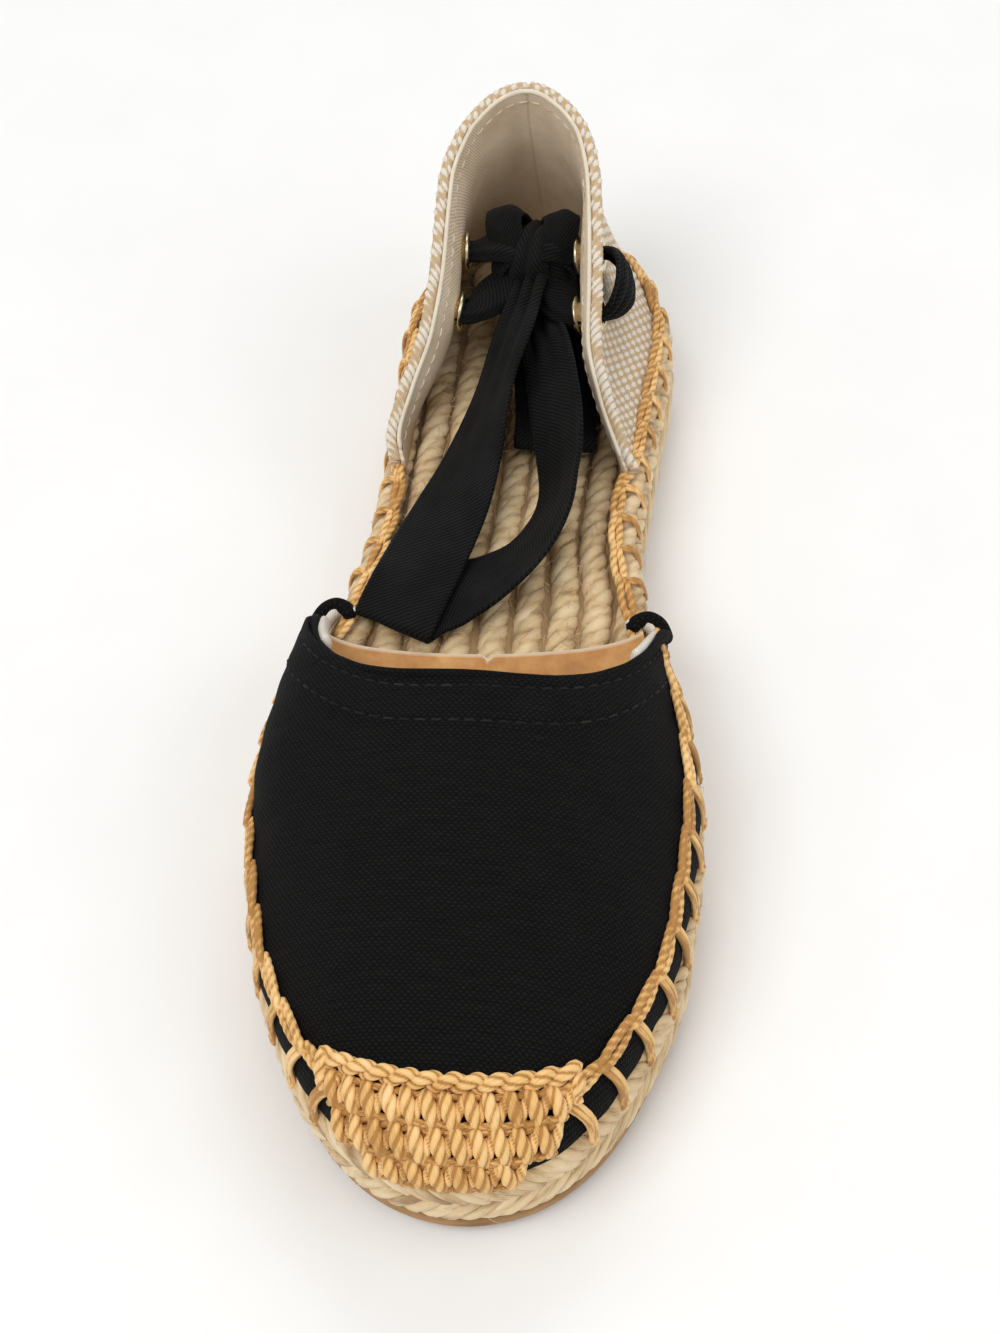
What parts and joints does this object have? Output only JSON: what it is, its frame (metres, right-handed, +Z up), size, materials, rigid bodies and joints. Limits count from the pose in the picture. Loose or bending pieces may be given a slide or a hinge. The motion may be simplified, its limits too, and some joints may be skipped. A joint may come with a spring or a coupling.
{
  "type": "tie espadrille",
  "caption": "Right-foot flat tie espadrille: plaited jute sole, black canvas vamp with crochet toe cap, woven heel counter with eyelets and a knotted twill ribbon.",
  "frame": {"origin": "middle of the shoe's bounding box, on the ground under the sole", "axes": "+Z up, toe towards -Y and heel towards +Y, medial (big-toe) side towards +X, lateral side towards -X"},
  "size_m": [0.0904, 0.2522, 0.0712],
  "materials": {
    "rubber": "smooth natural crepe rubber, dull",
    "jute": "plaited jute braid, dry and hairy",
    "leather": "thin tan lining leather, lightly creased",
    "canvas": "black plain-weave cotton canvas",
    "weave": "coarse basket weave in white and straw yarn",
    "crochet": "waxed honey-coloured cord, crocheted",
    "metal": "pale plated eyelets, polished",
    "ribbon": "black cotton twill tape"
  },
  "bodies": {
    "root": {"outsole": "rubber", "jute_sole": "jute", "forefoot_sock": "leather", "vamp": "canvas", "heel_counter": "weave", "toe_cap": "crochet", "eyelet_lateral_rear": "metal", "eyelet_lateral_front": "metal", "eyelet_medial_rear": "metal", "eyelet_medial_front": "metal", "ribbon_bar_lateral": "ribbon", "ribbon_bar_medial": "ribbon", "ribbon_knot": "ribbon", "ribbon_long_loop": "ribbon", "ribbon_short_loop": "ribbon"}
  },
  "joints": []
}
